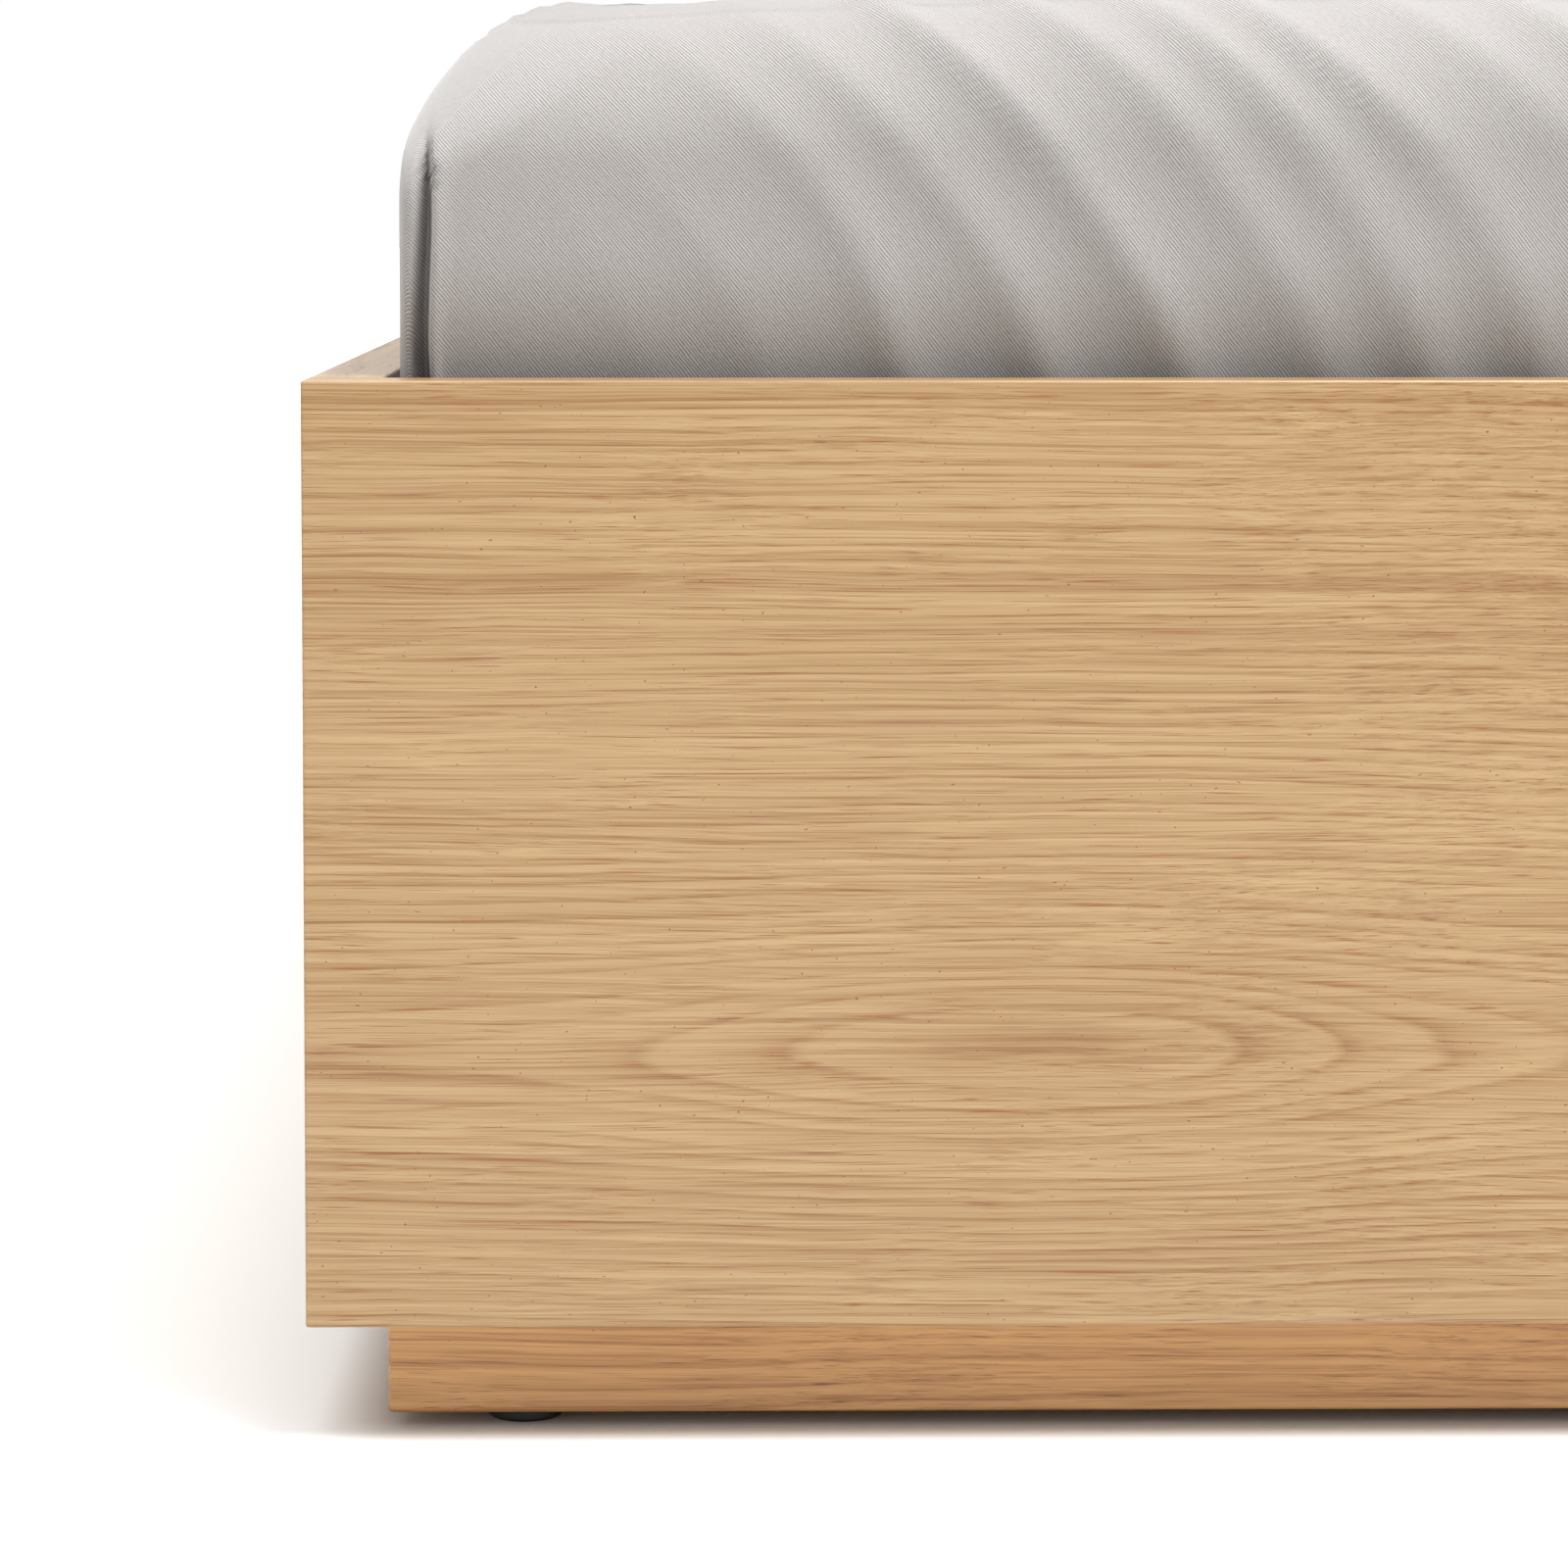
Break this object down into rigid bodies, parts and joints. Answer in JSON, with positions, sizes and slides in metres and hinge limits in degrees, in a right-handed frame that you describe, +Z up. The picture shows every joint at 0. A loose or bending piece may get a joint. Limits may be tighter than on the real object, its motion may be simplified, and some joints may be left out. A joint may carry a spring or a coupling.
{
  "type": "platform bed with storage drawers",
  "caption": "Low platform bed: oak-veneered box on a set-back plinth, handleless drawers under both long sides, slats, and a mattress in a fitted sheet.",
  "frame": {"origin": "on the floor, under the middle of the bed", "axes": "+Z up; X across the bed; +Y from the foot of the bed to its head. Two drawers open towards +X and two towards -X."},
  "size_m": [1.66, 2.06, 0.48],
  "materials": {
    "oak_panel": "oak veneer, satin lacquer",
    "oak_plinth": "solid oak, satin lacquer",
    "carcass_board": "oak-faced board, matt",
    "pine": "planed pine, bare",
    "drawer_board": "birch plywood, clear matt lacquer",
    "drawer_bottom_board": "birch plywood, clear matt lacquer",
    "zinc_steel": "rolled steel, bright zinc plated",
    "black_nylon": "moulded nylon, fine matt",
    "mattress_ticking": "woven ticking",
    "sheet_twill": "cotton twill, light grey"
  },
  "bodies": {
    "frame": {"foot_panel": "oak_panel", "head_panel": "oak_panel", "left_side_rail": "oak_panel", "right_side_rail": "oak_panel", "foot_plinth": "oak_plinth", "head_plinth": "oak_plinth", "left_plinth": "oak_plinth", "right_plinth": "oak_plinth", "foot_end_board": "carcass_board", "head_end_board": "carcass_board", "middle_partition": "carcass_board", "centre_spine": "carcass_board", "left_slat_ledger": "pine", "right_slat_ledger": "pine", "slat_01": "pine", "slat_02": "pine", "slat_03": "pine", "slat_04": "pine", "slat_05": "pine", "slat_06": "pine", "slat_07": "pine", "slat_08": "pine", "slat_09": "pine", "slat_10": "pine", "slat_11": "pine", "slat_12": "pine", "slide_cabinet_members": "zinc_steel", "corner_brackets": "zinc_steel", "frame_fasteners": "zinc_steel", "levelling_feet": "black_nylon"},
    "mattress": {"mattress": "mattress_ticking", "fitted_sheet": "sheet_twill"},
    "left_foot_drawer": {"left_foot_drawer_front": "oak_panel", "left_foot_drawer_foot_side": "drawer_board", "left_foot_drawer_head_side": "drawer_board", "left_foot_drawer_back": "drawer_board", "left_foot_drawer_bottom": "drawer_bottom_board", "left_foot_drawer_slide_inner": "zinc_steel"},
    "left_foot_drawer_slides": {"left_foot_drawer_slide_middle": "zinc_steel"},
    "left_head_drawer": {"left_head_drawer_front": "oak_panel", "left_head_drawer_foot_side": "drawer_board", "left_head_drawer_head_side": "drawer_board", "left_head_drawer_back": "drawer_board", "left_head_drawer_bottom": "drawer_bottom_board", "left_head_drawer_slide_inner": "zinc_steel"},
    "left_head_drawer_slides": {"left_head_drawer_slide_middle": "zinc_steel"},
    "right_foot_drawer": {"right_foot_drawer_front": "oak_panel", "right_foot_drawer_foot_side": "drawer_board", "right_foot_drawer_head_side": "drawer_board", "right_foot_drawer_back": "drawer_board", "right_foot_drawer_bottom": "drawer_bottom_board", "right_foot_drawer_slide_inner": "zinc_steel"},
    "right_foot_drawer_slides": {"right_foot_drawer_slide_middle": "zinc_steel"},
    "right_head_drawer": {"right_head_drawer_front": "oak_panel", "right_head_drawer_foot_side": "drawer_board", "right_head_drawer_head_side": "drawer_board", "right_head_drawer_back": "drawer_board", "right_head_drawer_bottom": "drawer_bottom_board", "right_head_drawer_slide_inner": "zinc_steel"},
    "right_head_drawer_slides": {"right_head_drawer_slide_middle": "zinc_steel"}
  },
  "joints": [
    {"name": "left_foot_drawer_slide", "type": "slide", "parent": "frame", "child": "left_foot_drawer", "axis": [-1, 0, 0], "range_m": [0, 0.7]},
    {"name": "left_foot_drawer_slides_travel", "type": "slide", "parent": "frame", "child": "left_foot_drawer_slides", "axis": [-1, 0, 0], "range_m": [0, 0.35]},
    {"name": "left_head_drawer_slide", "type": "slide", "parent": "frame", "child": "left_head_drawer", "axis": [-1, 0, 0], "range_m": [0, 0.7]},
    {"name": "left_head_drawer_slides_travel", "type": "slide", "parent": "frame", "child": "left_head_drawer_slides", "axis": [-1, 0, 0], "range_m": [0, 0.35]},
    {"name": "right_foot_drawer_slide", "type": "slide", "parent": "frame", "child": "right_foot_drawer", "axis": [1, 0, 0], "range_m": [0, 0.7]},
    {"name": "right_foot_drawer_slides_travel", "type": "slide", "parent": "frame", "child": "right_foot_drawer_slides", "axis": [1, 0, 0], "range_m": [0, 0.35]},
    {"name": "right_head_drawer_slide", "type": "slide", "parent": "frame", "child": "right_head_drawer", "axis": [1, 0, 0], "range_m": [0, 0.7]},
    {"name": "right_head_drawer_slides_travel", "type": "slide", "parent": "frame", "child": "right_head_drawer_slides", "axis": [1, 0, 0], "range_m": [0, 0.35]},
    {"name": "mattress_lift", "type": "slide", "parent": "frame", "child": "mattress", "axis": [0, 0, 1], "range_m": [0, 0.15]}
  ],
  "couplings": [
    {"joint": "left_foot_drawer_slides_travel", "follows": "left_foot_drawer_slide", "ratio": 0.5},
    {"joint": "left_head_drawer_slides_travel", "follows": "left_head_drawer_slide", "ratio": 0.5},
    {"joint": "right_foot_drawer_slides_travel", "follows": "right_foot_drawer_slide", "ratio": 0.5},
    {"joint": "right_head_drawer_slides_travel", "follows": "right_head_drawer_slide", "ratio": 0.5}
  ]
}
